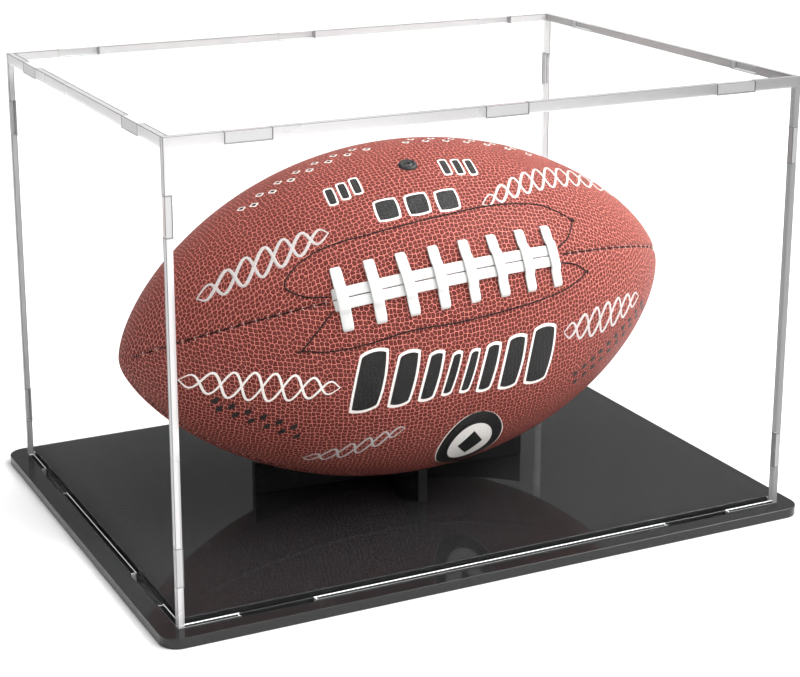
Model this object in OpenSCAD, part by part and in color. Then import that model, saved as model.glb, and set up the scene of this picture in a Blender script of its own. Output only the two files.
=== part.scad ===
// Football display case: a black base with a raised plinth, a clear five-sided cover that lifts
// off, a cradle of two crossed plates, and the football that rests on it.
// The origin is on the underside of the base, below the middle of the cover. +X is to the right
// along the case's length, -Y is the front and +Z is up.

/* [Football] */
// Length of the football from tip to tip
football_length = 290; // [260:1:350]
// Largest diameter of the football
football_diameter = 166; // [135:1:200]
// Fullness of the football's outline: 0.5 is an ellipse, 1 is a sharp lemon shape
fullness = 0.68; // [0.6:0.01:0.8]
// Thickness of the leather
leather = 3.5; // [2:0.1:5]
// Thickness of the rubber bladder inside the leather
bladder_wall = 1.2; // [0.8:0.1:2]
// Turn of the cradle and the football on the plinth, seen from above
display_turn = -4; // [-8:0.5:8]
// Tilt of the football, with its right end up
football_tilt = 5; // [2:0.5:7]
// Distance of the football's middle to the right of the cradle's middle
football_shift = 5; // [0:0.5:8]

/* [Laces] */
// Length of the laced part of the seam
laced_length = 112; // [90:1:130]
// Width of each lace
lace_width = 5.2; // [3:0.1:7]
// Thickness of each lace
lace_thickness = 1.1; // [0.6:0.1:2]
// Length of each cross lace, along the curve of the football
cross_lace_span = 33; // [20:1:45]
// Number of cross laces
cross_laces = 8; // [6:1:10]
// Height of the laced seam, as an angle up from the football's front
seam_angle = 26; // [0:1:60]
// Diameter of the valve
valve_diameter = 8; // [6:0.5:12]
// Diameter of the needle hole in the valve
needle_hole = 2; // [1:0.1:3]

/* [Cover] */
// Thickness of the clear walls
wall = 3; // [2:0.5:6]
// Thickness of the clear top
top_thickness = 5; // [3:0.5:8]
// Room between each end of the football and the wall, with the football in the middle
end_room = 10; // [8:1:40]
// Room between each side of the football and the wall
side_room = 29.5; // [15:0.5:60]
// Room between the football and the clear top
head_room = 34.5; // [31:0.5:80]
// Gap in every glued joint between clear panels
glue_gap = 0.1; // [0.05:0.05:0.2]
// Gap around every tab of the cover in its slot in the base
slot_gap = 0.25; // [0.1:0.05:0.5]

/* [Tabs] */
// Length of the tabs of the top, front and back
top_tab_front = 21; // [10:1:40]
// Distance from the case's corner to the middle of the outer front and back tabs
top_tab_front_inset = 37; // [25:1:60]
// Length of the tabs of the top, left and right
top_tab_side = 20; // [10:1:40]
// Distance from the case's corner to the middle of the left and right tabs
top_tab_side_inset = 41; // [25:1:60]
// Height of the corner fingers
finger_height = 17.5; // [10:0.5:30]
// Distance from the top or bottom of the walls to the middle of a corner finger
finger_inset = 28; // [20:1:50]
// Length of the tabs that stand in the base
foot_tab = 36; // [20:1:50]
// Distance from the case's corner to the middle of the front and back base tabs
foot_tab_front_inset = 47; // [35:1:70]
// Distance from the case's corner to the middle of the left and right base tabs
foot_tab_side_inset = 44; // [35:1:60]

/* [Base] */
// Thickness of the base plate
base_thickness = 5; // [4:0.5:10]
// Distance that the base plate stands out past the cover
base_rim = 9; // [5:0.5:20]
// Radius of the base plate's corners
base_corner = 9; // [3:0.5:20]
// Thickness of the raised plinth plate
plinth_thickness = 3; // [2:0.5:6]
// Gap between the plinth and the clear walls
plinth_gap = 0.6; // [0.3:0.1:1.5]

/* [Cradle] */
// Thickness of the two cradle plates
cradle_thickness = 5; // [3:0.5:8]
// Length of the plate that runs along the football
cradle_length = 147; // [120:1:170]
// Length of the plate that runs across the football
cradle_width = 86; // [60:1:100]
// Height of the cradle under the middle of the football
cradle_floor = 5; // [4:0.5:12]
// Gap between the football and the cradle
seat_gap = 0.5; // [0.4:0.1:1]
// Gap in the halved joint of the two plates
lap_gap = 0.1; // [0.05:0.05:0.3]

/* [Hidden] */

half_length = football_length / 2;
ball_radius = football_diameter / 2;

// Radius of a football outline, half as long as a and with the largest radius b, at a distance
// s from its middle
function outline(s, a, b) = b * pow(max(0, 1 - pow(s / a, 2)), fullness);
function ball_r(s) = outline(s, half_length, ball_radius);

// How far the football's underside is below its middle, at a distance d towards its low end
function drop(d) = d * tan(football_tilt) + ball_r(d) / cos(football_tilt);

plinth_top = base_thickness + plinth_thickness;
ball_z = plinth_top + cradle_floor + seat_gap + drop(football_shift);

inside_length = football_length + 2 * end_room;
inside_width = football_diameter + 2 * side_room;
cover_length = inside_length + 2 * wall;
cover_width = inside_width + 2 * wall;
cover_top_z = ball_z + ball_radius + head_room + top_thickness;
top_z = cover_top_z - top_thickness;
wall_height = cover_top_z - base_thickness;

base_length = cover_length + 2 * base_rim;
base_width = cover_width + 2 * base_rim;

// The tabs stop a little above the underside of the base
tab_depth = base_thickness - 0.5;

// Middles of the tabs, along the case and across it
front_top_tabs = [for (i = [-1, 0, 1]) i * (cover_length / 2 - top_tab_front_inset)];
side_top_tabs = [for (i = [-1, 1]) i * (cover_width / 2 - top_tab_side_inset)];
front_foot_tabs = [for (i = [-1, 1]) i * (cover_length / 2 - foot_tab_front_inset)];
side_foot_tabs = [for (i = [-1, 1]) i * (cover_width / 2 - foot_tab_side_inset)];
finger_heights = [base_thickness + finger_inset, top_z - finger_inset];

// The seam angles, counted around the football's own axis
front_angle = 270;
lace_angle = front_angle - seam_angle;
panel_angle = 90;
valve_angle = lace_angle - panel_angle / 2;

outline_steps = 36;
curve_fn = 96;
// The shallow arcs of the cradle are cut with a finer circle
arc_fn = 480;
// Width of the strips that run along the seam, as an angle, and the gap between them
row_angle = 3.6;
row_spread = 1.4;
// How far the strips reach past the outer cross laces, and the gap under a cross lace
row_overhang = 2;
lace_gap = 0.1;
row_steps = 24;
lace_steps = 2;
lace_angle_span = cross_lace_span / ball_radius * 180 / PI;
// The valve is moulded into the bladder, and stops just under the surface of the leather
valve_radius = valve_diameter / 2;
valve_length = leather + bladder_wall + 7;
valve_recess = 0.5;
valve_gap = 0.1;
valve_foot = ball_radius - valve_recess - valve_length;
needle_depth = 8;
// Extra length of a cutting shape past the faces that it cuts
past = 1;

football_colour = "#7a2f2a";
lace_colour = "white";
clear_colour = [0.85, 0.9, 0.92, 0.25];
black_colour = "#26262a";

// A block of the given size with its middle at x, y and its underside at z
module block(x, y, z, size) {
    translate([x - size[0] / 2, y - size[1] / 2, z]) cube(size);
}

// ---- Base ----

module rounded_plate(length, width, thickness, radius) {
    linear_extrude(thickness) {
        square([length - 2 * radius, width], center = true);
        square([length, width - 2 * radius], center = true);
        for (x = [-1, 1], y = [-1, 1])
            translate([x * (length / 2 - radius), y * (width / 2 - radius)])
                circle(radius, $fn = curve_fn);
    }
}

// Slots for the cover's tabs, through the base plate
module base_slots() {
    slot_length = foot_tab + 2 * slot_gap;
    slot_width = wall + 2 * slot_gap;
    depth = base_thickness + 2 * past;
    for (side = [-1, 1]) {
        for (x = front_foot_tabs)
            block(x, side * (cover_width - wall) / 2, -past, [slot_length, slot_width, depth]);
        for (y = side_foot_tabs)
            block(side * (cover_length - wall) / 2, y, -past, [slot_width, slot_length, depth]);
    }
}

module base_plate() {
    color(black_colour) difference() {
        rounded_plate(base_length, base_width, base_thickness, base_corner);
        base_slots();
    }
}

module plinth_plate() {
    size = [inside_length - 2 * plinth_gap, inside_width - 2 * plinth_gap, plinth_thickness];
    color(black_colour) block(0, 0, base_thickness, size);
}

// ---- Clear cover ----

// Front or back panel, as long as the cover, with notches for the top's tabs and the fingers
module long_panel(side) {
    y = side * (cover_width - wall) / 2;
    cut = wall + 2 * past;
    color(clear_colour) difference() {
        union() {
            block(0, y, base_thickness, [cover_length, wall, wall_height]);
            for (x = front_foot_tabs)
                block(x, y, base_thickness - tab_depth, [foot_tab, wall, tab_depth + past]);
        }
        for (x = front_top_tabs)
            block(x, y, top_z - glue_gap,
                  [top_tab_front + 2 * glue_gap, cut, top_thickness + glue_gap + past]);
        for (end = [-1, 1], z = finger_heights)
            block(end * (cover_length - wall + past - glue_gap) / 2, y,
                  z - finger_height / 2 - glue_gap,
                  [wall + past + glue_gap, cut, finger_height + 2 * glue_gap]);
    }
}

// Left or right panel, which stands between the long panels and has the fingers
module side_panel(side) {
    x = side * (cover_length - wall) / 2;
    cut = wall + 2 * past;
    color(clear_colour) difference() {
        union() {
            block(x, 0, base_thickness, [wall, inside_width - 2 * glue_gap, wall_height]);
            for (z = finger_heights)
                block(x, 0, z - finger_height / 2, [wall, cover_width, finger_height]);
            for (y = side_foot_tabs)
                block(x, y, base_thickness - tab_depth, [wall, foot_tab, tab_depth + past]);
        }
        for (y = side_top_tabs)
            block(x, y, top_z - glue_gap,
                  [cut, top_tab_side + 2 * glue_gap, top_thickness + glue_gap + past]);
    }
}

module cover_front() { long_panel(-1); }
module cover_back() { long_panel(1); }
module cover_left() { side_panel(-1); }
module cover_right() { side_panel(1); }

// The top lies between the walls, and its tabs reach their outside faces
module cover_top() {
    color(clear_colour) {
        block(0, 0, top_z,
              [inside_length - 2 * glue_gap, inside_width - 2 * glue_gap, top_thickness]);
        for (x = front_top_tabs)
            block(x, 0, top_z, [top_tab_front, cover_width, top_thickness]);
        for (y = side_top_tabs)
            block(0, y, top_z, [cover_length, top_tab_side, top_thickness]);
    }
}

// ---- Cradle ----

half_lap = cradle_floor / 2;
cross_arc = ball_r(football_shift) / cos(football_tilt) + seat_gap;
cross_arc_z = ball_z - plinth_top - football_shift * tan(football_tilt);
cross_end = cross_arc_z - sqrt(pow(cross_arc, 2) - pow(cradle_width / 2, 2));
long_end = ball_z - plinth_top - seat_gap - drop(football_shift + cradle_length / 2);
long_sag = long_end - cradle_floor;
long_arc = (pow(cradle_length / 2, 2) + pow(long_sag, 2)) / (2 * long_sag);

// An upright plate with a hollow top edge, along X, standing at height 0. Its top edge is an
// arc whose lowest point is at the cradle floor.
module saddle_plate(length, end_height, arc) {
    difference() {
        block(0, 0, 0, [length, cradle_thickness, end_height]);
        translate([0, cradle_thickness / 2 + past, cradle_floor + arc]) rotate([90, 0, 0])
            cylinder(h = cradle_thickness + 2 * past, r = arc, $fn = arc_fn);
    }
}

module on_plinth() {
    translate([0, 0, plinth_top]) rotate([0, 0, display_turn]) children();
}

lap_width = cradle_thickness + 2 * lap_gap;

// The long plate has the open half of the joint at its top edge
module cradle_long_plate() {
    color(black_colour) on_plinth() difference() {
        saddle_plate(cradle_length, long_end, long_arc);
        block(0, 0, half_lap - lap_gap / 2, [lap_width, lap_width, cradle_floor + past]);
    }
}

// The cross plate has it at its bottom edge, and drops over the long plate
module cradle_cross_plate() {
    color(black_colour) on_plinth() rotate([0, 0, 90]) difference() {
        saddle_plate(cradle_width, cross_end, cross_arc);
        block(0, 0, -past, [lap_width, lap_width, half_lap + lap_gap / 2 + past]);
    }
}

// ---- Football ----

// Places a football that stands on its tip, with its middle at the origin, on the cradle
module laid_down() {
    rotate([0, 0, display_turn]) translate([football_shift, 0, ball_z])
        rotate([0, 90 - football_tilt, 0]) children();
}

// The points of a football outline, from its lower tip to its upper one
function outline_points(a, b) = [
    for (i = [0 : outline_steps])
        let (angle = 180 * i / outline_steps - 90)
        [i % outline_steps == 0 ? 0 : outline(a * sin(angle), a, b), a * sin(angle)]];

// The half section of a hollow football
module shell_section(length, radius, thickness) {
    difference() {
        polygon(outline_points(length, radius));
        polygon(outline_points(length - thickness, radius - thickness));
    }
}

module valve_cylinder(radius, foot, height) {
    rotate([0, 0, valve_angle]) rotate([0, 90, 0])
        translate([0, 0, foot]) cylinder(h = height, r = radius, $fn = curve_fn);
}

// One of the four leather panels. The first one starts at the laced seam.
module leather_panel(number) {
    start = lace_angle + number * panel_angle;
    color(football_colour) laid_down() difference() {
        rotate([0, 0, start]) rotate_extrude(angle = panel_angle, $fn = curve_fn)
            shell_section(half_length, ball_radius, leather);
        if (number == 3)
            valve_cylinder(valve_radius + valve_gap, valve_foot, 2 * valve_length);
    }
}

module football_panel_front() { leather_panel(0); }
module football_panel_bottom() { leather_panel(1); }
module football_panel_back() { leather_panel(2); }
module football_panel_top() { leather_panel(3); }

module football_bladder() {
    color("#202022") laid_down() difference() {
        rotate_extrude($fn = curve_fn)
            shell_section(half_length - leather, ball_radius - leather, bladder_wall);
        valve_cylinder(valve_radius, valve_foot, valve_length);
    }
}

module football_valve() {
    color("#151515") laid_down() difference() {
        valve_cylinder(valve_radius, valve_foot, valve_length);
        valve_cylinder(needle_hole / 2, ball_radius - needle_depth, needle_depth);
    }
}

// The half section of a strip from s = low to s = high, between two heights above the leather
module strip_section(low, high, bottom, top, steps) {
    stations = [for (i = [0 : steps]) low + (high - low) * i / steps];
    polygon([for (s = stations) [ball_r(s) + bottom, s],
             for (i = [steps : -1 : 0]) [ball_r(stations[i]) + top, stations[i]]]);
}

// A strip around part of the football, with its middle at the laced seam plus an angle
module strip(low, high, bottom, top, angle, span, steps) {
    rotate([0, 0, lace_angle + angle - span / 2])
        rotate_extrude(angle = span, $fn = curve_fn)
            strip_section(low, high, bottom, top, steps);
}

// The two strips along the seam, made larger all round by grow
module lace_rows(grow) {
    half = laced_length / 2 + row_overhang + grow;
    for (side = [-1, 1])
        strip(-half, half, -grow, lace_thickness + min(grow, lace_gap),
              side * (row_angle + row_spread) / 2, row_angle, row_steps);
}

module football_lace_rows() {
    color(lace_colour) laid_down() lace_rows(0);
}

// Cross laces lie on the leather and bridge the two strips
module football_cross_laces() {
    pitch = (laced_length - lace_width) / (cross_laces - 1);
    color(lace_colour) laid_down() difference() {
        for (i = [0 : cross_laces - 1]) {
            low = -laced_length / 2 + i * pitch;
            strip(low, low + lace_width, 0, 2 * lace_thickness, 0, lace_angle_span, lace_steps);
        }
        lace_rows(past);
    }
}

base_plate();
plinth_plate();
cover_front();
cover_back();
cover_left();
cover_right();
cover_top();
cradle_long_plate();
cradle_cross_plate();
football_panel_front();
football_panel_top();
football_panel_back();
football_panel_bottom();
football_bladder();
football_valve();
football_lace_rows();
football_cross_laces();
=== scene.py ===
import math

import bmesh
import bpy
from bpy.props import FloatProperty, FloatVectorProperty, IntProperty, PointerProperty
from mathutils import Matrix, Vector


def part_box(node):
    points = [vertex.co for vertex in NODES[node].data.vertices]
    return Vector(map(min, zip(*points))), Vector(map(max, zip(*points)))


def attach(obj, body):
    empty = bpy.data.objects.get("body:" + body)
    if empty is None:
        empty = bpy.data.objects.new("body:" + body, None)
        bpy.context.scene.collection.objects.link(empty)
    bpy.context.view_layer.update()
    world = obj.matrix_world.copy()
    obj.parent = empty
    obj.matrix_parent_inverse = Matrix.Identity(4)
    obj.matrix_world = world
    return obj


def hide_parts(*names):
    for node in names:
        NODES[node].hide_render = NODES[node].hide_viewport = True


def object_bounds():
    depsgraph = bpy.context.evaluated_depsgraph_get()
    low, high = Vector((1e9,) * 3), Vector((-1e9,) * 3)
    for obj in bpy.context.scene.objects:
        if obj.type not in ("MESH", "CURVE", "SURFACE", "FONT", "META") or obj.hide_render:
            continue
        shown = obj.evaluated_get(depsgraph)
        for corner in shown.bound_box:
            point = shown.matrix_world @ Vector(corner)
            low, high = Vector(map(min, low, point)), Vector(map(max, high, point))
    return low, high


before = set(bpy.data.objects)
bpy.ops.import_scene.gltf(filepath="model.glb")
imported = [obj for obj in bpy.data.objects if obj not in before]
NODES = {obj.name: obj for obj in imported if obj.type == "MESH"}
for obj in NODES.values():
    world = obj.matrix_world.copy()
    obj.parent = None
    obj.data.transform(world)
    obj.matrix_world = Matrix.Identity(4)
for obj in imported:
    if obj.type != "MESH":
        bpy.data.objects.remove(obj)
cad_low, cad_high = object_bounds()

bl_info = {
    "name": "Football display case",
    "version": (1, 0, 0),
    "blender": (4, 5, 0),
    "location": "3D View > Sidebar > Display case",
    "description": "Builds the looks of a clear display case with a football on a cradle",
    "category": "Object",
}

MM = 0.001
QUARTER = math.pi / 2
MERGE = 0.002 * MM
SQUARE_ON = 0.99  # a normal this far along an axis looks straight along it
TIP = 0.2 * MM  # a radius under which a point counts as a tip of the football
PANEL_SPACING = 0.25  # metres between the unrolled leather panels
SUNK = -0.1 * MM  # height of the border of a print, under the leather
PALE_LIFT, RING_LIFT, DARK_LIFT = 0.07 * MM, 0.13 * MM, 0.14 * MM  # heights of the prints
CLEAR_IOR = 1.012  # far below real acrylic, so that the clear faces carry no veil
BLACK_IOR, BASE_IOR = 1.33, 1.4
FLOOR_REACH, FLOOR_DROP = 9.0, 0.02 * MM
COVER_PANELS = ("cover_front", "cover_back", "cover_left", "cover_right", "cover_top")
LEATHER_PANELS = (
    "football_panel_top", "football_panel_back", "football_panel_bottom", "football_panel_front")


# ---- Sizes and colours that a user would change ----

def colour(name, description, default):
    return FloatVectorProperty(
        name=name, description=description, default=default, size=3, subtype="COLOR",
        min=0.0, max=1.0)


def length(name, description, default):
    """A length property, with its default in millimetres."""
    return FloatProperty(
        name=name, description=description, default=default * MM, unit="LENGTH",
        subtype="DISTANCE", min=0.0)


def angle(name, description, default):
    """An angle property, with its default in degrees."""
    return FloatProperty(
        name=name, description=description, default=math.radians(default), unit="ROTATION",
        subtype="ANGLE")


class CaseSettings(bpy.types.PropertyGroup):
    edge_bevel: length("Edge bevel", "Width of the broken edges of the black sheets", 0.5)
    clear_bevel: length("Clear bevel", "Width of the broken edges of the clear sheets", 0.25)
    # Painted highlight: the clear panels are drawn near-white over this height above the base.
    foot: length("Foot", "Height of the bright line where the cover meets the base", 0.4)
    black: colour("Black sheet", "Body colour of the black acrylic", (0.012, 0.012, 0.0125))
    rim: colour("Base sheet", "Body colour of the base plate", (0.016, 0.016, 0.0165))
    clear: colour("Clear sheet", "Tint of the clear acrylic", (0.975, 0.985, 0.982))
    cut_edge: colour("Cut edge", "Colour of the laser-cut clear edges", (0.52, 0.515, 0.515))
    # Painted shade: the cut edges take this colour towards two of the corners.
    shaded_edge: colour("Deep edge", "Colour of the edges in the shaded corners", (0.33, 0.33, 0.335))
    arris: colour("Arris", "Colour of the fine lines along the cut edges", (0.24, 0.24, 0.245))


class FootballSettings(bpy.types.PropertyGroup):
    fullness: FloatProperty(
        name="Fullness", description="0.5 is an ellipse and 1 a sharp lemon shape",
        default=0.68, min=0.5, max=1.0)
    leather: length("Leather", "Thickness of the leather that shows", 1.5)
    pebble: length("Pebble", "Distance between the middles of the leather's pebbles", 2.1)
    seam_depth: length("Seam depth", "How far the panels turn in at a seam", 0.9)
    seam_width: length("Seam width", "How far from a seam the panels start to turn in", 1.3)
    cell: colour("Pebble rim", "Rim of each pebble", (0.048, 0.009, 0.007))
    top: colour("Pebble top", "Top of each pebble", (0.135, 0.030, 0.025))
    valley: colour("Valley colour", "Grooves between the pebbles", (0.58, 0.19, 0.155))
    stitch_pitch: length("Stitch pitch", "Distance between stitches along a seam", 5.0)
    thread: length("Thread", "Diameter of the sewing thread", 0.68)
    lace: colour("Lace colour", "White of the laces", (0.56, 0.555, 0.545))
    lace_thickness: length("Lace thickness", "Thickness of one lace", 1.1)
    lace_width: length("Lace width", "Width of a cross lace", 5.2)
    laced_length: length("Laced length", "Length of the laced part of the seam", 112)
    lace_span: length("Lace span", "Length of a cross lace over the curve", 33)
    laces: IntProperty(name="Laces", description="Number of cross laces", default=8, min=2)


class StageSettings(bpy.types.PropertyGroup):
    camera_place: FloatVectorProperty(
        name="Camera place", description="Where the camera stands", size=3, unit="LENGTH",
        subtype="TRANSLATION", default=(-0.4085, -0.828, 0.3770))
    camera_turn: angle("Camera turn", "Turn of the view to the right of straight ahead", 26.27)
    camera_pitch: angle("Camera pitch", "How far the view looks down", 15.45)
    camera_lens: FloatProperty(
        name="Lens", description="Focal length in millimetres", default=86.4, unit="CAMERA")
    shift_x: FloatProperty(name="Shift X", description="Lens shift across", default=0.0122)
    shift_y: FloatProperty(name="Shift Y", description="Lens shift up", default=-0.10)
    floor: colour("Floor", "Colour of the floor", (0.93, 0.93, 0.93))
    sky: FloatProperty(name="Sky", description="Strength of light at the horizon", default=1.0)
    wall_left: FloatProperty(
        name="Left wall", description="Strength of light from the left wall", default=0.29)
    wall_right: FloatProperty(
        name="Right wall", description="Strength of light from the right wall", default=0.36)


def settings():
    scene = bpy.context.scene
    return scene.case_settings, scene.football_settings, scene.stage_settings


# ---- Materials ----

class Finish:
    """A material whose nodes are added one at a time, from a Principled shader back."""

    def __init__(self, name):
        self.material = bpy.data.materials.new(name)
        self.material.use_nodes = True
        self.tree = self.material.node_tree
        self.shader = self.tree.nodes["Principled BSDF"]
        self.output = self.tree.nodes["Material Output"]

    def node(self, kind, **values):
        """Adds a node. A value goes to the attribute or else the input of that name."""
        made = self.tree.nodes.new(kind)
        for name, value in values.items():
            if hasattr(made, name):
                setattr(made, name, value)
            else:
                self.feed(made.inputs[name.replace("_", " ")], value)
        return made

    def feed(self, socket, value):
        """Links a socket to another node's output, or sets it to a value."""
        if isinstance(value, bpy.types.NodeSocket):
            self.tree.links.new(value, socket)
        elif isinstance(value, bpy.types.Node):
            self.tree.links.new(value.outputs[0], socket)
        elif hasattr(value, "__len__") and len(value) == 3 and socket.type == "RGBA":
            socket.default_value = (*value, 1.0)
        else:
            socket.default_value = value

    def principled(self, **values):
        for name, value in values.items():
            self.feed(self.shader.inputs[name.replace("_", " ")], value)

    def coordinates(self):
        return self.node("ShaderNodeTexCoord").outputs["Object"]

    def noise(self, vector, scale, detail=4.0, roughness=0.5):
        made = self.node("ShaderNodeTexNoise", Vector=vector, Scale=scale, Detail=detail,
                         Roughness=roughness)
        return made.outputs["Fac"]

    def stretched(self, vector, scale):
        return self.node("ShaderNodeMapping", Vector=vector, Scale=scale)

    def remap(self, value, low, high, to_low, to_high, smooth=False):
        made = self.node("ShaderNodeMapRange", Value=value)
        made.interpolation_type = "SMOOTHSTEP" if smooth else "LINEAR"
        for name, number in zip(("From Min", "From Max", "To Min", "To Max"),
                                (low, high, to_low, to_high)):
            made.inputs[name].default_value = number
        return made.outputs["Result"]

    def mix(self, factor, first, second, blend="MIX"):
        made = self.node("ShaderNodeMix")
        made.data_type = "RGBA"
        made.blend_type = blend
        self.feed(made.inputs[0], factor)
        self.feed(made.inputs[6], first)
        self.feed(made.inputs[7], second)
        return made.outputs[2]

    def math(self, operation, first, second=0.5):
        made = self.node("ShaderNodeMath")
        made.operation = operation
        self.feed(made.inputs[0], first)
        self.feed(made.inputs[1], second)
        return made.outputs[0]

    def bump(self, height, distance, strength=1.0, normal=None):
        made = self.node("ShaderNodeBump", Height=height, Distance=distance,
                         Strength=strength)
        if normal is not None:
            self.feed(made.inputs["Normal"], normal)
        return made.outputs["Normal"]

    def let_lamps_through(self, tint):
        """Rays from lamps pass this surface, so that what is behind it is lit."""
        path = self.node("ShaderNodeLightPath").outputs["Is Shadow Ray"]
        clear = self.node("ShaderNodeBsdfTransparent", Color=tint)
        mixed = self.node("ShaderNodeMixShader")
        self.feed(mixed.inputs[0], path)
        self.feed(mixed.inputs[1], self.shader.outputs[0])
        self.feed(mixed.inputs[2], clear.outputs[0])
        self.feed(self.output.inputs["Surface"], mixed.outputs[0])


def clear_sheet(case):
    """Clear cast acrylic: faint haze and the odd soft wipe mark on a polished face."""
    made = Finish("Clear acrylic")
    place = made.coordinates()
    haze = made.noise(made.stretched(place, (6.0, 6.0, 14.0)), 1.6, 3.0)
    tint = made.mix(made.remap(haze, 0.35, 0.7, 0.0, 1.0), case.clear, (0.99, 0.99, 0.99))
    made.principled(Base_Color=tint, Roughness=0.0, IOR=CLEAR_IOR,
                    Transmission_Weight=1.0)
    made.let_lamps_through((0.97, 0.97, 0.97))
    return made.material


def cut_edge(name, pale, shaded_tone, clearness):
    """The laser-cut edge of a clear sheet: milky, with painted shade that makes it deeper towards
    two of the corners and painted light that makes it paler towards the back of the top.
    """
    made = Finish(name)
    place = made.coordinates()
    parts = made.node("ShaderNodeSeparateXYZ", Vector=place).outputs
    # Painted shade: the edge colour moves from pale to the shaded tone by where the edge stands. It
    # is deeper where x and y have opposite signs, and paler where they share a sign and towards the
    # back of the top.
    corner = made.math("MULTIPLY", parts["X"], parts["Y"])
    cloud = made.noise(made.stretched(place, (9.0, 9.0, 5.0)), 1.0, 2.0)
    top = made.remap(parts["Z"], cad_high.z - 15 * MM, cad_high.z - 8 * MM, 0.0, 0.12)
    back = made.math("MULTIPLY", made.math("SUBTRACT", parts["Y"], cad_low.y), top)
    shift = made.math("ADD", made.math("ADD", corner, back),
                      made.remap(cloud, 0.3, 0.7, -0.004, 0.004))
    tint = made.mix(made.remap(shift, -0.02, 0.014, 1.0, 0.0, True), pale, shaded_tone)
    made.principled(
        Base_Color=tint, Roughness=made.remap(cloud, 0.3, 0.7, 0.24, 0.36), IOR=1.2,
        Transmission_Weight=clearness)
    made.let_lamps_through((0.9, 0.9, 0.9))
    return made.material


def black_sheet(tone, name, gloss=0.035, ior=BLACK_IOR):
    """Black cast acrylic with the slight waviness of the sheet and fine rub marks."""
    made = Finish(name)
    place = made.coordinates()
    wave = made.noise(place, 9.0, 1.0)
    rubs = made.noise(made.stretched(place, (40.0, 320.0, 60.0)), 1.0, 6.0, 0.6)
    dust = made.noise(place, 700.0, 2.0)
    shade = made.mix(made.remap(dust, 0.62, 0.8, 0.0, 1.0), tone,
                     tuple(part + 0.015 for part in tone))
    made.principled(
        Base_Color=shade, Roughness=made.remap(rubs, 0.35, 0.75, gloss, gloss + 0.05),
        IOR=ior, Normal=made.bump(wave, 0.05 * MM, 0.25))
    return made.material


def pebbles(made, ball):
    """The leather's pebbles: distance from the groove, height, a shade of each pebble's own."""
    flat = made.node("ShaderNodeUVMap", uv_map="Leather").outputs["UV"]
    count = 1.0 / ball.pebble
    drift = made.node("ShaderNodeTexNoise", Vector=flat, Scale=count * 0.35, Detail=1.0)
    bent = made.node("ShaderNodeVectorMath", operation="MULTIPLY_ADD")
    made.feed(bent.inputs[0], drift.outputs["Color"])
    bent.inputs[1].default_value = (0.7 * ball.pebble,) * 3
    made.feed(bent.inputs[2], flat)
    cells = {}
    for feature in ("DISTANCE_TO_EDGE", "F1"):
        cells[feature] = made.node(
            "ShaderNodeTexVoronoi", voronoi_dimensions="2D", feature=feature,
            Vector=bent.outputs[0], Scale=count, Randomness=0.62)
    edge = cells["DISTANCE_TO_EDGE"].outputs["Distance"]
    dome = made.remap(cells["F1"].outputs["Distance"], 0.30, 0.62, 0.0, 0.05, True)
    edge = made.math("SUBTRACT", edge, dome)
    return edge, made.remap(edge, 0.0, 0.16, 0.0, 1.0, True), cells["F1"].outputs["Color"], flat


def leather(ball):
    """Pebbled football leather: dark-rimmed pebbles, pale grooves, worn and oily areas."""
    made = Finish("Football leather")
    edge, height, cell, flat = pebbles(made, ball)
    place = made.coordinates()
    tone = made.node("ShaderNodeSeparateColor", Color=cell).outputs[0]
    area = made.noise(place, 11.0, 3.0)
    grain = made.noise(flat, 2600.0, 2.0)
    top = made.mix(made.remap(tone, 0.0, 1.0, 0.0, 0.6), ball.top, (0.18, 0.046, 0.038))
    top = made.mix(made.remap(grain, 0.3, 0.7, 0.0, 0.35), top, ball.cell)
    cap = made.mix(made.remap(edge, 0.14, 0.28, 0.0, 1.0, True), ball.cell, top)
    groove = made.mix(made.remap(area, 0.3, 0.7, 0.0, 1.0), ball.valley, (0.46, 0.14, 0.115))
    shade = made.mix(made.remap(edge, 0.025, 0.08, 0.0, 1.0, True), groove, cap)
    made.principled(
        Base_Color=shade, Roughness=made.remap(height, 0.0, 1.0, 0.65, 0.48),
        Specular_IOR_Level=0.05,
        Normal=made.bump(made.math("ADD", height, made.math("MULTIPLY", grain, 0.12)),
                         0.28 * MM, 0.75))
    return made.material


def ink(ball, name, tone, gaps, shine):
    """Ink on the leather, which misses some of the grooves between the pebbles."""
    made = Finish(name)
    height, flat = pebbles(made, ball)[1::2]
    grain = made.noise(flat, 900.0, 2.0)
    cover = made.remap(made.math("ADD", height, made.math("MULTIPLY", grain, 0.5)),
                       gaps, gaps + 0.2, 0.0, 1.0)
    made.principled(
        Base_Color=made.mix(cover, ball.valley, tone), Roughness=shine,
        Specular_IOR_Level=0.2,
        Normal=made.bump(height, 0.2 * MM, 0.55))
    return made.material


def lace_vinyl(ball):
    """White vinyl-coated lace with a fine pressed grain and a little grime."""
    made = Finish("Lace vinyl")
    place = made.coordinates()
    grain = made.noise(place, 1500.0, 3.0)
    grime = made.noise(place, 60.0, 5.0, 0.7)
    tone = made.mix(made.remap(grime, 0.55, 0.8, 0.0, 0.35), ball.lace, (0.55, 0.50, 0.44))
    made.principled(
        Base_Color=tone, Roughness=made.remap(grain, 0.3, 0.7, 0.38, 0.55), IOR=1.5,
        Normal=made.bump(grain, 0.06 * MM, 0.5))
    return made.material


def sewing_thread(name, tone):
    """Twisted thread: fine slanting strands."""
    made = Finish(name)
    place = made.coordinates()
    strands = made.node("ShaderNodeTexWave", Vector=place, Scale=900.0, Distortion=1.5,
                        wave_type="BANDS", bands_direction="DIAGONAL").outputs["Fac"]
    shade = made.mix(made.remap(strands, 0.2, 0.9, 0.0, 1.0),
                     tuple(0.55 * part for part in tone), tone)
    made.principled(Base_Color=shade, Roughness=0.65, Specular_IOR_Level=0.12,
                    Normal=made.bump(strands, 0.08 * MM, 0.6))
    return made.material


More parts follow.
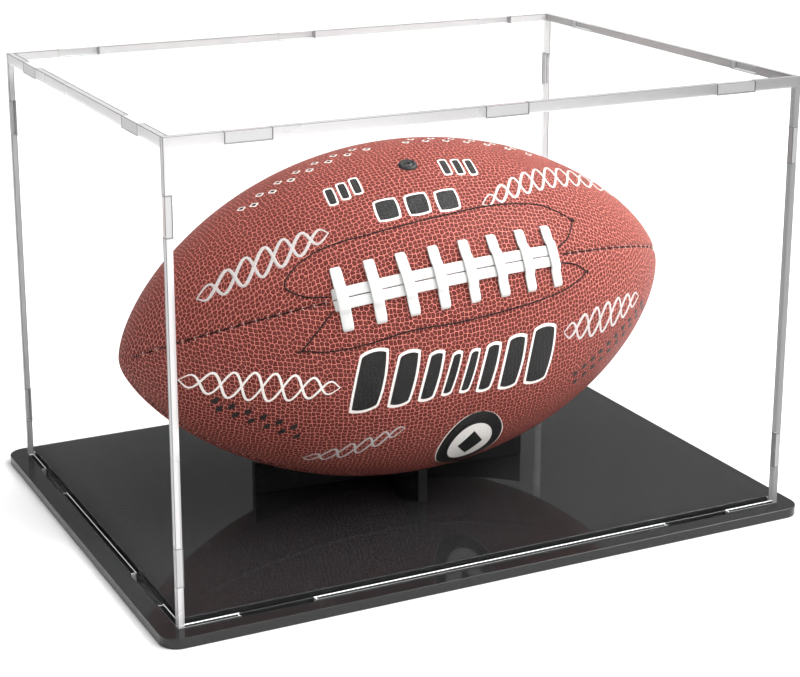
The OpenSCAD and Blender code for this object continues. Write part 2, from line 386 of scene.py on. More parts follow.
def moulded_rubber(name):
    """Black rubber with a satin skin and faint bloom."""
    made = Finish(name)
    place = made.coordinates()
    skin = made.noise(place, 1800.0, 3.0)
    bloom = made.noise(place, 90.0, 4.0)
    shade = made.mix(made.remap(bloom, 0.4, 0.75, 0.0, 1.0), (0.010, 0.010, 0.010),
                     (0.022, 0.021, 0.021))
    made.principled(Base_Color=shade, Roughness=made.remap(skin, 0.3, 0.7, 0.35, 0.5),
                    Specular_IOR_Level=0.3,
                    Normal=made.bump(skin, 0.03 * MM, 0.4))
    return made.material


def floor_paint(stage):
    """A plain pale floor with a barely visible grain."""
    made = Finish("Floor")
    grain = made.noise(made.coordinates(), 30.0, 3.0)
    tone = made.mix(made.remap(grain, 0.3, 0.7, 0.0, 1.0), stage.floor,
                    tuple(0.99 * part for part in stage.floor))
    made.principled(Base_Color=tone, Roughness=0.85)
    return made.material


# ---- Making pieces ----

def finish_piece(name, bm, body, material, smooth=True, sharp=None):
    """Turns a bmesh into an object that rides on a body."""
    mesh = bpy.data.meshes.new(name)
    bm.to_mesh(mesh)
    bm.free()
    for each in material if isinstance(material, (list, tuple)) else [material]:
        mesh.materials.append(each)
    for face in mesh.polygons:
        face.use_smooth = smooth
    if sharp is not None:
        mesh.set_sharp_from_angle(angle=sharp)
    piece = bpy.data.objects.new(name, mesh)
    bpy.context.scene.collection.objects.link(piece)
    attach(piece, body)
    return piece


def add_modifier(piece, kind, **values):
    modifier = piece.modifiers.new(kind.title(), kind)
    for name, value in values.items():
        setattr(modifier, name, value)
    return modifier


def merged_copy(node):
    """A copy of a CAD node's mesh with its loose triangles joined into whole flat faces."""
    bm = bmesh.new()
    bm.from_mesh(NODES[node].data)
    bmesh.ops.remove_doubles(bm, verts=bm.verts, dist=MERGE)
    bmesh.ops.dissolve_limit(
        bm, angle_limit=math.radians(0.5), verts=bm.verts, edges=bm.edges, delimit={"NORMAL"})
    return bm


def break_edges(bm, width, segments):
    """Bevels every sharp edge."""
    sharp = [edge for edge in bm.edges
             if len(edge.link_faces) == 2 and edge.calc_face_angle() > math.radians(30)]
    bmesh.ops.bevel(
        bm, geom=sharp, offset=width, offset_type="OFFSET", segments=segments, profile=0.5,
        affect="EDGES", clamp_overlap=True, material=-1)


def sheet_part(node, body, material, width):
    """A cut sheet with broken edges, in place of a CAD node."""
    bm = merged_copy(node)
    break_edges(bm, width, 2)
    piece = finish_piece(node + "_sheet", bm, body, material, sharp=math.radians(50))
    add_modifier(piece, "WEIGHTED_NORMAL", weight=100, keep_sharp=True)
    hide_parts(node)
    return piece


def cover_box():
    """The lowest and highest corners of the whole cover."""
    corners = [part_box(node) for node in COVER_PANELS]
    return [pick(corner[end][axis] for corner in corners)
            for end, pick in ((0, min), (1, max)) for axis in range(3)]


def clear_part(node, case, finishes):
    """A clear panel. Its five finishes are for its faces, its cut edges, the fine lines along them,
    the strips where it is bonded to its neighbours and the painted highlight along its foot on the
    base."""
    bm = merged_copy(node)
    low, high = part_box(node)
    size = high - low
    thin = min(range(3), key=lambda axis: size[axis])
    break_edges(bm, case.clear_bevel, 1)
    outer = cover_box()
    wall = min(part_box("cover_front")[1].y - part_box("cover_front")[0].y, 4 * MM)
    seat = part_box("base_plate")[1].z
    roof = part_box("cover_top")[0].z
    along = 1 - thin if thin < 2 else 0
    face, cut, arris, joint, foot = range(5)
    tabs = [sorted(v.co[along] for v in each.verts)[::len(each.verts) - 1]
            for each in bm.faces if each.normal.z < -0.9 and each.verts[0].co.z < seat - MM]
    limits = [(0, outer[0] + wall), (0, outer[3] - wall), (1, outer[1] + wall),
              (1, outer[4] - wall), (2, roof), (2, seat), (2, seat + case.foot)]
    limits += [(along, place) for tab in tabs for place in tab]
    for axis, place in limits:
        if axis != thin and low[axis] + MM < place < high[axis] - 0.5 * MM:
            bmesh.ops.bisect_plane(
                bm, geom=bm.verts[:] + bm.edges[:] + bm.faces[:], dist=MERGE,
                plane_co=[place if i == axis else 0.0 for i in range(3)],
                plane_no=[1.0 if i == axis else 0.0 for i in range(3)])
    for each in bm.faces:
        centre = each.calc_center_median()
        near = sum((
            not outer[0] + wall < centre.x < outer[3] - wall,
            not outer[1] + wall < centre.y < outer[4] - wall, centre.z > roof))
        flat = max(abs(part) for part in each.normal) > SQUARE_ON
        # Painted highlight: faces in the foot band, outside the tabs, take the near-white foot
        # finish.
        foot_highlight_face = centre.z < seat + case.foot and not any(
            tab[0] - MM < centre[along] < tab[1] + MM for tab in tabs)
        if abs(each.normal[thin]) > SQUARE_ON:
            each.material_index = foot if foot_highlight_face else joint if near > 1 else face
        else:
            each.material_index = foot if foot_highlight_face else cut if flat else arris
    piece = finish_piece(node + "_panel", bm, "cover", finishes,
                         smooth=False)
    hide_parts(node)
    return piece


class Football:
    """The football's own places: a distance along its axis and a distance around from the
    laced seam, over the leather. They come from the CAD bladder, laces and leather panels."""

    def __init__(self, values):
        self.values = values
        tips = self.far_pair([v.co for v in NODES["football_bladder"].data.vertices])
        low, high = sorted(tips, key=lambda tip: tip.x)
        self.middle = (low + high) / 2
        self.axis = (high - low).normalized()
        laces = NODES["football_cross_laces"].data.vertices
        out = sum((v.co for v in laces), Vector()) / len(laces) - self.middle
        self.out = (out - out.project(self.axis)).normalized()
        self.up = self.out.cross(self.axis)
        self.half = self.radius_at = 0.0
        for panel in LEATHER_PANELS:
            for v in NODES[panel].data.vertices:
                arm = v.co - self.middle
                along = arm.dot(self.axis)
                self.half = max(self.half, abs(along))
                self.radius_at = max(self.radius_at, (arm - along * self.axis).length)
        self.walked = self.walk(240)

    @staticmethod
    def far_pair(points):
        first = min(points, key=lambda p: p.x)
        second = max(points, key=lambda p: (p - first).length)
        return max(points, key=lambda p: (p - second).length), second

    def radius(self, along):
        share = max(0.0, 1.0 - (along / self.half) ** 2)
        return self.radius_at * share ** self.values.fullness

    def walk(self, steps):
        """Distances over the leather from its middle to even stations towards a tip."""
        stations = [self.half * i / steps for i in range(steps + 1)]
        total, walked = 0.0, [0.0]
        for near, far in zip(stations, stations[1:]):
            total += math.hypot(far - near, self.radius(far) - self.radius(near))
            walked.append(total)
        return walked

    def over(self, along):
        """Distance over the leather from the middle to a station."""
        place = min(abs(along) / self.half, 1.0) * (len(self.walked) - 1)
        whole = min(int(place), len(self.walked) - 2)
        part = place - whole
        distance = self.walked[whole] * (1 - part) + self.walked[whole + 1] * part
        return math.copysign(distance, along)

    def direction(self, turn):
        return math.cos(turn) * self.out + math.sin(turn) * self.up

    def normal(self, along, turn):
        small = 0.5 * MM
        slope = (self.radius(along + small) - self.radius(along - small)) / (2 * small)
        return (self.direction(turn) - slope * self.axis).normalized()

    def place(self, along, turn, height=0.0):
        base = self.middle + along * self.axis + self.radius(along) * self.direction(turn)
        return base + height * self.normal(along, turn) if height else base

    def on(self, along, across, height=0.0):
        """A point over the leather, across being measured around the football."""
        return self.place(along, across / max(self.radius(along), MM), height)

    def seam_depth(self, along):
        """How far the panels turn in at a station, which is less where they meet at the tips."""
        return self.values.seam_depth * min(1.0, self.radius(along) / (6 * MM))

    def read(self, point):
        """The station and turn of a point."""
        arm = point - self.middle
        return arm.dot(self.axis), math.atan2(arm.dot(self.up), arm.dot(self.out))

    def flat(self, along, turn):
        """Where a point lies on its leather panel when the panel is unrolled."""
        turn %= 4 * QUARTER
        panel = int(turn / QUARTER)
        middle = (panel + 0.5) * QUARTER
        return self.over(along), (turn - middle) * self.radius(along) + panel * PANEL_SPACING


def leather_panel(ball, number, material):
    """One quarter of the cover, turned in where it is sewn to its neighbours."""
    values = ball.values
    start, stations, steps = number * QUARTER, 220, 96
    bm = bmesh.new()
    verts = []
    for i in range(stations + 1):
        along = -ball.half * math.cos(math.pi * i / stations)
        verts.append(bm.verts.new(ball.place(along, start)))
    edges = [bm.edges.new(pair) for pair in zip(verts, verts[1:])]
    bmesh.ops.spin(bm, geom=verts + edges, cent=ball.middle, axis=ball.axis, dvec=(0, 0, 0),
                   angle=-QUARTER, steps=steps, use_merge=False)
    bmesh.ops.remove_doubles(bm, verts=bm.verts, dist=MERGE)
    placed = {}
    for vert in bm.verts:
        along, turn = ball.read(vert.co)
        share = ((turn - start) % (4 * QUARTER)) / QUARTER
        share = 0.0 if share > 2.5 else min(share, 1.0)
        # more rows near both seams, where the leather turns in
        share -= 0.85 * math.sin(2 * math.pi * share) / (2 * math.pi)
        turn = start + share * QUARTER
        radius = ball.radius(along)
        reach = min(share, 1 - share) * QUARTER * radius
        dip = ball.seam_depth(along) * math.exp(-(reach / values.seam_width) ** 2)
        placed[vert] = along, turn
        if radius > TIP:
            vert.co = ball.place(along, turn, -dip)
    layer = bm.loops.layers.uv.new("Leather")
    for face in bm.faces:
        turns = [placed[v][1] for v in face.verts if ball.radius(placed[v][0]) > TIP]
        centre = sum(turns) / len(turns)
        if face.normal.dot(ball.direction(centre)) < 0:
            face.normal_flip()
        for loop in face.loops:
            along, turn = placed[loop.vert]
            turn = min(max(turn, start + 1e-6), start + QUARTER - 1e-6)
            loop[layer].uv = ball.flat(along, turn if ball.radius(along) > TIP else centre)
    name = LEATHER_PANELS[number]
    piece = finish_piece(name + "_leather", bm, "football", material)
    add_modifier(piece, "SOLIDIFY", thickness=values.leather, offset=-1.0,
                 use_quality_normals=True)
    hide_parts(name)
    return piece


def smooth_step(low, high, value):
    share = min(max((value - low) / (high - low), 0.0), 1.0)
    return share * share * (3 - 2 * share)


def patch(bm, ball, shape, across_steps, along_steps, height):
    """Lays a square grid on the football. shape(u, v) gives the distances along and across for
    u and v from -1 to 1, and height(u, v, along, across) how far above the leather."""
    layer = bm.loops.layers.uv.get("Leather") or bm.loops.layers.uv.new("Leather")
    grid = bmesh.ops.create_grid(
        bm, x_segments=along_steps, y_segments=across_steps, size=1.0)["verts"]
    placed = {}
    for vert in grid:
        u, v = vert.co.x, vert.co.y
        along, across = shape(u, v)
        placed[vert] = along, across / ball.radius(along)
        vert.co = ball.on(along, across, height(u, v, along, across))
    for face in {face for vert in grid for face in vert.link_faces}:
        face.normal_update()
        centre = sum((placed[v][1] for v in face.verts)) / len(face.verts)
        if face.normal.dot(ball.direction(centre)) < 0:
            face.normal_flip()
        for loop in face.loops:
            loop[layer].uv = ball.flat(*placed[loop.vert])


def printed(lift):
    """The height of a print whose border goes under the surface of the leather."""
    def height(u, v, along, across):
        return SUNK if max(abs(u), abs(v)) > 0.999 else lift
    return height


def curve_point(points, share):
    """A point at a share from 0 to 1 of a smooth curve through given points."""
    place = min(max(share, 0.0), 1.0) * (len(points) - 1)
    i = min(int(place), len(points) - 2)
    t = place - i
    before = points[max(i - 1, 0)]
    after = points[min(i + 2, len(points) - 1)]
    result = []
    for a, b, c, d in zip(before, points[i], points[i + 1], after):
        result.append(0.5 * (2 * b + (c - a) * t + (2 * a - 5 * b + 4 * c - d) * t * t
                             + (3 * b - a - 3 * c + d) * t ** 3))
    return result


def add_stitch(bm, centre, along, normal, size):
    """A short round-ended stitch of the given length, width and height."""
    side = normal.cross(along).normalized()
    along = side.cross(normal)
    axes = Matrix([axis * extent / 2 for axis, extent in zip((along, side, normal), size)])
    bmesh.ops.create_icosphere(
        bm, subdivisions=2, radius=1.0,
        matrix=Matrix.Translation(centre) @ axes.transposed().to_4x4())


def seam_stitches(ball, dark, light):
    """Dark stitches in the four seams, with a pair of light stitch ends between them."""
    values = ball.values
    laced = values.laced_length / 2 + 3 * MM
    threads, ends = bmesh.new(), bmesh.new()
    reach = ball.half - 3 * MM
    count = int(2 * reach / values.stitch_pitch)
    for seam in range(4):
        for i in range(count):
            along = -reach + (i + 0.5) * 2 * reach / count
            if seam == 0 and abs(along) < laced:
                continue
            turn = seam * QUARTER
            forward = ball.place(along + MM, turn) - ball.place(along - MM, turn)
            normal = ball.normal(along, turn)
            depth = ball.seam_depth(along)
            add_stitch(threads, ball.place(along, turn, -0.65 * depth), forward,
                       normal, (0.95 * values.stitch_pitch, values.thread, values.thread))
            gap = along + values.stitch_pitch / 2
            if abs(gap) > reach:
                continue
            for side in (-1, 1):
                across = seam * QUARTER * ball.radius(gap) + side * 0.5 * MM
                add_stitch(ends, ball.on(gap, across, -0.55 * depth),
                           forward.cross(normal), normal, (0.62 * MM, 0.42 * MM, 0.5 * MM))
    finish_piece("seam_threads", threads, "football", dark)
    finish_piece("seam_stitch_ends", ends, "football", light)


# Outlines of the sewn lining behind the laces, as millimetres along and across the seam
LINING_ABOVE = ((-58, 2), (-69, 5), (-76, 12), (-69, 20), (-54, 26), (-30, 27.5), (0, 29),
                (30, 30), (54, 27), (65, 22), (73, 16), (73, 16), (67, 8), (58, 3))
LINING_BELOW = ((-58, -4), (-67, -12), (-75, -19), (-75, -19), (-62, -22.5), (-45, -23),
                (-26, -21.5), (0, -22.5), (30, -21), (54, -18), (66, -14), (73, -10), (73, -10),
                (67, -6), (58, -4))


def lining_stitches(ball, dark):
    """The dark stitch line that holds the lining behind the laces."""
    bm = bmesh.new()
    pitch = 1.9 * MM
    for outline in (LINING_ABOVE, LINING_BELOW):
        fine = [curve_point(outline, i / 600) for i in range(601)]
        walked, last = 0.0, fine[0]
        for point in fine[1:]:
            walked += math.dist(point, last) * MM
            if walked >= pitch:
                along, across = point[0] * MM, point[1] * MM
                ahead = Vector((point[0] - last[0], point[1] - last[1])).normalized() * MM
                forward = (ball.on(along + ahead.x, across + ahead.y) - ball.on(along, across))
                normal = ball.normal(along, across / ball.radius(along))
                add_stitch(bm, ball.on(along, across, 0.1 * MM), forward, normal,
                           (2.9 * MM, 0.8 * MM, 0.6 * MM))
                walked = 0.0
            last = point
    finish_piece("lining_stitches", bm, "football", dark)


def finish_lace(piece, values):
    add_modifier(piece, "SOLIDIFY", thickness=values.lace_thickness, offset=-1.0)
    add_modifier(piece, "BEVEL", width=0.28 * MM, segments=2, limit_method="ANGLE",
                 angle_limit=math.radians(40))
    for face in piece.data.polygons:
        face.use_smooth = True


def laces(ball, vinyl):
    """Two strips along the seam and the cross laces that bridge them."""
    values = ball.values
    thick, width = values.lace_thickness, values.lace_width
    row_width, row_gap, overhang = 5.0 * MM, 0.35 * MM, 2.0 * MM
    rows = bmesh.new()
    reach = values.laced_length / 2 + overhang
    for side in (-1, 1):
        middle = side * (row_width + row_gap) / 2

        def row_height(u, v, along, across):
            end = smooth_step(0.985, 1.0, abs(u))
            return thick * (1.0 + 0.12 * (1 - v * v)) - 1.6 * thick * end

        patch(rows, ball, lambda u, v: (u * reach, middle + v * row_width / 2), 6, 90,
              row_height)
    piece = finish_piece("lace_rows", rows, "football", vinyl)
    finish_lace(piece, values)
    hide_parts("football_lace_rows")

    cross = bmesh.new()
    pitch = (values.laced_length - width) / (values.laces - 1)
    half_span = values.lace_span / 2
    for i in range(values.laces):
        middle = -values.laced_length / 2 + width / 2 + i * pitch
        lean = 0.35 * MM * math.sin(2.1 * i + 0.5)

        def cross_height(u, v, along, across):
            bridge = 1.0 - smooth_step(5.2 * MM, 8.0 * MM, abs(across))
            tuck = smooth_step(half_span - 2.6 * MM, half_span, abs(across))
            crown = 0.12 * thick * (1 - v * v)
            return thick * (1.08 + 1.02 * bridge) + crown - 2.4 * thick * tuck

        def cross_shape(u, v):
            narrow = 1.0 - 0.16 * smooth_step(0.72, 1.0, abs(u))
            return middle + v * narrow * width / 2 + lean * u, u * half_span

        patch(cross, ball, cross_shape, 6, 44, cross_height)
    piece = finish_piece("cross_laces", cross, "football", vinyl)
    finish_lace(piece, values)
    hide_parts("football_cross_laces")


def valve(ball, rubber):
    """A round rubber valve with a raised lip, a ring groove and a needle hole."""
    turn = QUARTER / 2
    centre, normal = ball.place(0.0, turn), ball.normal(0.0, turn)
    side = ball.axis
    # distance from the middle and height over the leather, in millimetres
    profile = ((0.0, 0.15), (0.5, 0.15), (0.55, 0.95), (0.9, 1.1), (1.5, 1.05), (1.9, 0.7),
               (2.3, 0.62), (2.7, 0.9), (3.3, 0.95), (3.9, 0.6), (4.3, -0.2), (4.3, -1.0),
               (0.0, -1.0))
    bm = bmesh.new()
    verts = [bm.verts.new(centre + side * 1.12 * r * MM + normal * h * MM)
             for r, h in profile]
    edges = [bm.edges.new(pair) for pair in zip(verts, verts[1:])]
    bmesh.ops.spin(bm, geom=verts + edges, cent=centre, axis=normal, dvec=(0, 0, 0),
                   angle=2 * math.pi, steps=48, use_merge=True)
    bmesh.ops.remove_doubles(bm, verts=bm.verts, dist=MERGE)
    bmesh.ops.recalc_face_normals(bm, faces=bm.faces)
    piece = finish_piece("valve", bm, "football", rubber,
                         sharp=math.radians(60))
    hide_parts("football_valve")


# ---- Generic marks on the leather ----

def mark_point(ball, along, turn):
    """Distances along and across in metres from millimetres and degrees around the football."""
    return along * MM, math.radians(turn) * ball.radius(along * MM)


def ribbon(bm, ball, path, width, lift, steps):
    """A printed line whose width tapers to its ends; path(share) gives along and across."""
    def shape(u, v):
        share = (u + 1) / 2
        here, ahead = path(share), path(share + 0.002)
        forward = Vector((ahead[0] - here[0], ahead[1] - here[1])).normalized()
        half = v * width / 2 * min(1.0, 0.35 + 5.0 * min(share, 1 - share))
        return here[0] - forward.y * half, here[1] + forward.x * half

    patch(bm, ball, shape, 4, steps, printed(lift))


def rounded(u, v, roundness):
    """Moves a point of a square towards the ellipse that fits inside it."""
    return (u * (1 - roundness + roundness * math.sqrt(1 - v * v / 2)),
            v * (1 - roundness + roundness * math.sqrt(1 - u * u / 2)))


def slanted_block(bm, ball, middle, turn, size, slant, lift):
    """A slanted round-cornered block; middle, size and slant in millimetres, turn in degrees."""
    across = math.radians(turn) * ball.radius(middle * MM)
    wide, tall = size[0] * MM / 2, size[1] * MM / 2

    def shape(u, v):
        u, v = rounded(u, v, 0.45)
        return middle * MM + u * wide + v * slant * MM, across + v * tall

    patch(bm, ball, shape, max(6, int(size[1] / 1.3)), max(6, int(size[0] / 1.3)),
          printed(lift))


def running_scroll(ball, start, end, rise, waves, side):
    """A path that waves about the line between two places given in millimetres and degrees."""
    def path(share):
        along = start[0] + (end[0] - start[0]) * share
        turn = start[1] + (end[1] - start[1]) * share
        place = mark_point(ball, along, turn)
        swell = math.sin(math.pi * min(max(share, 0.0), 1.0)) ** 0.5
        wave = math.sin(2 * math.pi * waves * share) * swell * side
        return place[0] + 0.3 * rise * MM * wave, place[1] + rise * MM * wave
    return path


# Each bar of the band: its middle along the football, its width and its height in mm
BAND_BLOCKS = (
    (-47, 15, 30), (-31, 12, 27), (-18, 9, 24), (-8, 6, 21), (1, 6, 21), (11, 9, 24),
    (24, 12, 27), (40, 15, 30))
# Scrolls: start and end in mm and degrees, rise in mm, waves, line width in mm
SILVER_SCROLLS = (
    ((-112, 23), (-50, 25), 7.5, 3.5, 1.9), ((25, 22), (121, 52), 7.5, 5.5, 1.8),
    ((54, -29), (112, -33), 7.5, 3.5, 1.8), ((-74, -72), (-30, -51), 5.5, 3.0, 1.4))
WHITE_SCROLLS = (((-126, -30), (-60, -32), 6.5, 4.0, 1.4),)
# Small outlined bars: middle in mm and degrees, width and height in mm
OUTLINED_BLOCKS = (
    (-42, 40, 4.6, 13), (-35.5, 40.5, 4.6, 13), (-29, 41, 4.6, 13),
    (17, 41, 4.6, 13), (23.5, 40.5, 4.6, 13), (30, 40, 4.6, 13),
    (-21, 27, 12, 13), (-6, 26.4, 12, 13), (9, 25.8, 12, 13))
# Double rows of small bars: first and last, in mm and degrees
SMALL_ROWS = (((-112, -42), (-80, -51)), ((64, -51), (116, -42)))


def diamond(bm, ball, middle, turn, size, lift):
    """A four-pointed block standing on its corner."""
    across = math.radians(turn) * ball.radius(middle * MM)

    def shape(u, v):
        return (middle * MM + (u - v) * size[0] * MM / 4, across + (u + v) * size[1] * MM / 4)

    steps = max(4, int(max(size) / 1.6))
    patch(bm, ball, shape, steps, steps, printed(lift))


def badge(bm, ball, middle, turn, size, lift, inner=0.0):
    """An oval disc, or an oval ring when inner is the share of it left open."""
    across = math.radians(turn) * ball.radius(middle * MM)

    def shape(u, v):
        round_by = math.pi * (u + 1)
        reach = inner + (1 - inner) * (v + 1) / 2
        return (middle * MM + math.cos(round_by) * reach * size[0] * MM / 2,
                across + math.sin(round_by) * reach * size[1] * MM / 2)

    def height(u, v, along, across):
        return SUNK if v > 0.999 or (inner and v < -0.999) else lift

    patch(bm, ball, shape, 8, 56, height)
    bmesh.ops.remove_doubles(bm, verts=bm.verts, dist=MERGE)


def marks(ball, black, white, silver):
    """Plain geometric and scrolled ornament in the places where a football is printed."""
    dark, pale, shiny = bmesh.new(), bmesh.new(), bmesh.new()
    for middle, width, height in BAND_BLOCKS:
        turn = -30.5 - 4.3 * (middle + 53.6) / 106.7
        slanted_block(pale, ball, middle, turn, (width + 1.4, height + 2.6), 3.8, PALE_LIFT)
        slanted_block(dark, ball, middle, turn, (width - 0.6, height), 3.5, DARK_LIFT)
    for middle, turn, width, height in OUTLINED_BLOCKS:
        slanted_block(pale, ball, middle, turn, (width + 1.6, height + 1.8), 0.6, PALE_LIFT)
        slanted_block(dark, ball, middle, turn, (width, height), 0.6, DARK_LIFT)
    badge(pale, ball, 6.5, -67, (38, 54), PALE_LIFT)
    badge(dark, ball, 6.5, -67, (35, 50.5), RING_LIFT, inner=0.62)
    diamond(dark, ball, 6.5, -67, (15, 24), DARK_LIFT)
    for place in range(-15, 15):
        along, row = 5.2 * place, 1 if place % 2 else -1
        if abs(along) > 9:
            turn = 66 - 8 * (along / 78) ** 2 + 2.2 * row
            diamond(pale, ball, along, turn, (6.4, 7.0), PALE_LIFT)
            diamond(dark, ball, along, turn, (4.4, 5.0), RING_LIFT)
    for first, last in SMALL_ROWS:
        count = round((last[0] - first[0]) / 5)
        for i in range(2 * count):
            share, row = (i // 2) / (count - 1), i % 2
            middle = first[0] + (last[0] - first[0]) * share + 1.5 * row
            turn = first[1] + (last[1] - first[1]) * share - 5.5 * row
            slanted_block(dark, ball, middle, turn, (3.4, 3.6), 0.4, 0.1 * MM)
    for start, end, rise, waves, width in SILVER_SCROLLS + WHITE_SCROLLS:
        bm = pale if (start, end, rise, waves, width) in WHITE_SCROLLS else shiny
        for side, lift in ((1, 0.1), (-1, 0.16)):
            ribbon(bm, ball, running_scroll(ball, start, end, rise, waves, side), width * MM,
                   lift * MM, int(26 * waves))
    for name, bm, material in (("marks_black", dark, black), ("marks_white", pale, white),
                               ("marks_silver", shiny, silver)):
        finish_piece(name, bm, "football", material)


# ---- Stage ----

def aim(place, target):
    """The rotation that points a lamp or camera at a target."""
    return (Vector(target) - Vector(place)).to_track_quat("-Z", "Y").to_euler()


def add_lamp(name, kind, place, target, energy, **values):
    lamp = bpy.data.lights.new(name, kind)
    lamp.energy = energy
    for key, value in values.items():
        setattr(lamp, key, value)
    made = bpy.data.objects.new(name, lamp)
    made.location = place
    made.rotation_euler = aim(place, target)
    bpy.context.scene.collection.objects.link(made)


def studio_walls(stage):
    """A studio with a white strip at the horizon and dim walls above it, paler to the right."""
    world = bpy.data.worlds.new("Studio")
    world.use_nodes = True
    tree = world.node_tree
    place = tree.nodes.new("ShaderNodeTexCoord").outputs["Generated"]
    parts = tree.nodes.new("ShaderNodeSeparateXYZ")
    tree.links.new(place, parts.inputs[0])

    def ramp(source, low, high, to_low, to_high):
        made = tree.nodes.new("ShaderNodeMapRange")
        made.interpolation_type = "SMOOTHSTEP"
        tree.links.new(source, made.inputs["Value"])
        for name, number in (("From Min", low), ("From Max", high)):
            made.inputs[name].default_value = number
        for name, number in (("To Min", to_low), ("To Max", to_high)):
            if isinstance(number, bpy.types.NodeSocket):
                tree.links.new(number, made.inputs[name])
            else:
                made.inputs[name].default_value = number
        return made.outputs["Result"]

    walls = ramp(parts.outputs["X"], 0.2, 0.65, stage.wall_left, stage.wall_right)
    light = ramp(parts.outputs["Z"], 0.03, 0.16, stage.sky, walls)
    tree.links.new(light, tree.nodes["Background"].inputs["Strength"])
    tree.nodes["Background"].inputs["Color"].default_value = (1.0, 1.0, 1.0, 1.0)
    return world


def build_stage(stage):
    scene = bpy.context.scene
    scene.view_settings.view_transform = "Standard"
    scene.world = studio_walls(stage)

    bm = bmesh.new()
    bmesh.ops.create_grid(bm, x_segments=8, y_segments=8, size=FLOOR_REACH,
                          matrix=Matrix.Translation((0, 0, -FLOOR_DROP)))
    mesh = bpy.data.meshes.new("floor")
    bm.to_mesh(mesh)
    bm.free()
    mesh.materials.append(floor_paint(stage))
    floor = bpy.data.objects.new("floor", mesh)
    scene.collection.objects.link(floor)

    add_lamp("high_softbox", "SUN", (1.3, -1.0, 3.0), (0, 0, 0), 3.6, angle=math.radians(90))
    add_lamp("right_softbox", "AREA", (1.25, -0.6, 1.5), (0, 0, 0.1), 30.0, shape="SQUARE",
             size=0.9)

    camera = bpy.data.objects.new("camera", bpy.data.cameras.new("camera"))
    camera.data.lens = stage.camera_lens
    camera.data.shift_x, camera.data.shift_y = stage.shift_x, stage.shift_y
    camera.location = stage.camera_place
    camera.rotation_euler = (QUARTER - stage.camera_pitch, 0, -stage.camera_turn)
    scene.collection.objects.link(camera)
    scene.camera = camera


# ---- Operators ----

class CASE_OT_base(bpy.types.Operator):
    """Builds the black base plate and the plinth that the cradle stands on"""
    bl_idname = "display_case.base"
    bl_label = "Base and plinth"

    def execute(self, context):
        case = settings()[0]
        sheet_part("base_plate", "base", black_sheet(case.rim, "Black base sheet", ior=BASE_IOR),
                   case.edge_bevel)
        sheet_part("plinth_plate", "base", black_sheet(case.black, "Black plinth sheet"),
                   case.edge_bevel)
        return {"FINISHED"}


class CASE_OT_cover(bpy.types.Operator):
    """Builds the five clear panels of the cover"""
    bl_idname = "display_case.cover"
    bl_label = "Clear cover"

    def execute(self, context):
        case = settings()[0]
        # The second colour of each edge finish is its painted shade for two of the corners.
        finishes = (clear_sheet(case),
                    cut_edge("Cut acrylic edge", case.cut_edge, case.shaded_edge, 0.1),
                    cut_edge("Acrylic arris", case.arris, (0.12, 0.12, 0.12), 0.0),
                    cut_edge("Bonded acrylic joint", (0.74, 0.73, 0.73), (0.34, 0.34, 0.345),
                             0.45),
                    # Painted highlight: an opaque near-white line where the cover stands on the
                    # base.
                    cut_edge("Acrylic foot painted highlight", (0.95, 0.95, 0.95), (0.9, 0.9, 0.9), 0.0))
        for node in COVER_PANELS:
            clear_part(node, case, finishes)
        return {"FINISHED"}


class CASE_OT_cradle(bpy.types.Operator):
    """Builds the two crossed plates of the cradle"""
    bl_idname = "display_case.cradle"
    bl_label = "Cradle"

    def execute(self, context):
        case = settings()[0]
        material = black_sheet(case.black, "Black cradle sheet", 0.05)
        for node in ("cradle_long_plate", "cradle_cross_plate"):
            sheet_part(node, "cradle", material, 0.3 * MM)
        return {"FINISHED"}


class CASE_OT_leather(bpy.types.Operator):
    """Builds the football's four leather panels over its bladder"""
    bl_idname = "display_case.leather"
    bl_label = "Leather panels"

    def execute(self, context):
        values = settings()[1]
        ball, material = Football(values), leather(values)
        for number in range(4):
            leather_panel(ball, number, material)
        bladder = NODES["football_bladder"]
        rubber = moulded_rubber("Bladder rubber")
        if bladder.material_slots:
            bladder.material_slots[0].material = rubber
        else:
            bladder.data.materials.append(rubber)
        return {"FINISHED"}


class CASE_OT_stitching(bpy.types.Operator):
    """Sews the four seams and the lining behind the laces"""
    bl_idname = "display_case.stitching"
    bl_label = "Stitching"

    def execute(self, context):
        ball = Football(settings()[1])
        dark = sewing_thread("Black thread", (0.016, 0.013, 0.012))
        seam_stitches(ball, dark, sewing_thread("White thread", (0.72, 0.68, 0.64)))
        lining_stitches(ball, dark)
        return {"FINISHED"}


class CASE_OT_laces(bpy.types.Operator):
    """Lays the lace along the seam and crosses it"""
    bl_idname = "display_case.laces"
    bl_label = "Laces"

    def execute(self, context):
        values = settings()[1]
        laces(Football(values), lace_vinyl(values))
        return {"FINISHED"}


class CASE_OT_valve(bpy.types.Operator):
    """Turns the rubber inflation valve"""
    bl_idname = "display_case.valve"
    bl_label = "Valve"

    def execute(self, context):
        valve(Football(settings()[1]), moulded_rubber("Valve rubber"))
        return {"FINISHED"}


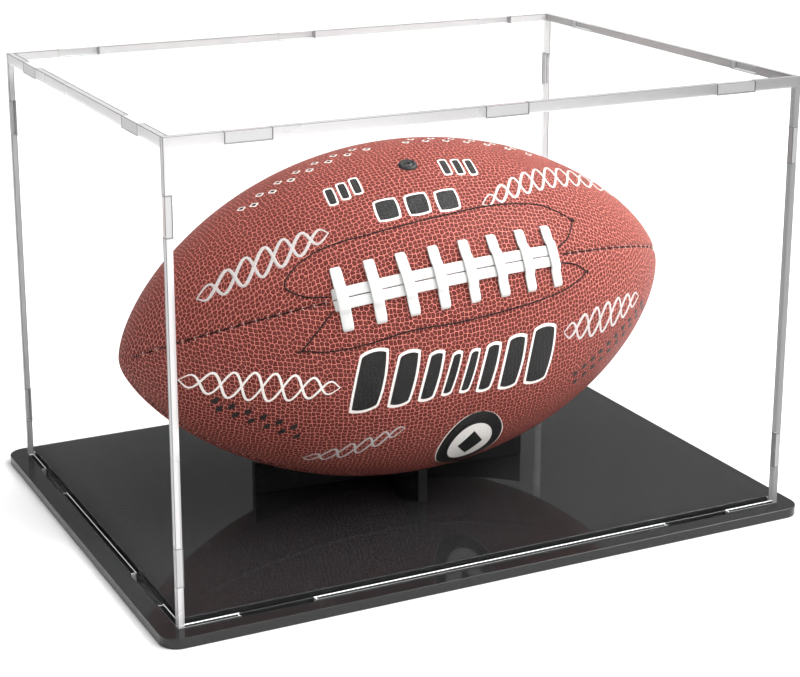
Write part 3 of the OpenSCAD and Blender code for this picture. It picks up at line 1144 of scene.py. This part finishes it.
class CASE_OT_marks(bpy.types.Operator):
    """Prints plain ornament on the leather"""
    bl_idname = "display_case.marks"
    bl_label = "Printed marks"

    def execute(self, context):
        values = settings()[1]
        marks(Football(values), ink(values, "Black ink", (0.014, 0.013, 0.013), -0.6, 0.5),
              ink(values, "White ink", (0.78, 0.74, 0.71), -0.1, 0.45),
              ink(values, "Silver ink", (0.44, 0.41, 0.40), 0.0, 0.35))
        return {"FINISHED"}


class CASE_OT_stage(bpy.types.Operator):
    """Sets out the floor, the light and the camera"""
    bl_idname = "display_case.stage"
    bl_label = "Floor, light and camera"

    def execute(self, context):
        build_stage(settings()[2])
        return {"FINISHED"}


PROPERTY_GROUPS = (
    ("case_settings", CaseSettings), ("football_settings", FootballSettings),
    ("stage_settings", StageSettings))
OPERATORS = (
    CASE_OT_stage, CASE_OT_base, CASE_OT_cover, CASE_OT_cradle, CASE_OT_leather,
    CASE_OT_stitching, CASE_OT_laces, CASE_OT_valve, CASE_OT_marks)


class CASE_PT_pieces(bpy.types.Panel):
    """Lists the pieces of the display case and their settings"""
    bl_idname = "CASE_PT_pieces"
    bl_label = "Football display case"
    bl_space_type = "VIEW_3D"
    bl_region_type = "UI"
    bl_category = "Display case"

    def draw(self, context):
        for operator in OPERATORS:
            self.layout.operator(operator.bl_idname)
        for name, group in PROPERTY_GROUPS:
            box = self.layout.box()
            for key in group.__annotations__:
                box.prop(getattr(context.scene, name), key)


def register():
    for name, group in PROPERTY_GROUPS:
        bpy.utils.register_class(group)
        setattr(bpy.types.Scene, name, PointerProperty(type=group))
    for each in (*OPERATORS, CASE_PT_pieces):
        bpy.utils.register_class(each)


def unregister():
    for each in (CASE_PT_pieces, *reversed(OPERATORS)):
        bpy.utils.unregister_class(each)
    for name, group in reversed(PROPERTY_GROUPS):
        delattr(bpy.types.Scene, name)
        bpy.utils.unregister_class(group)


def main():
    register()
    for operator in OPERATORS:
        category, name = operator.bl_idname.split(".")
        getattr(getattr(bpy.ops, category), name)()


if __name__ == "__main__":
    main()
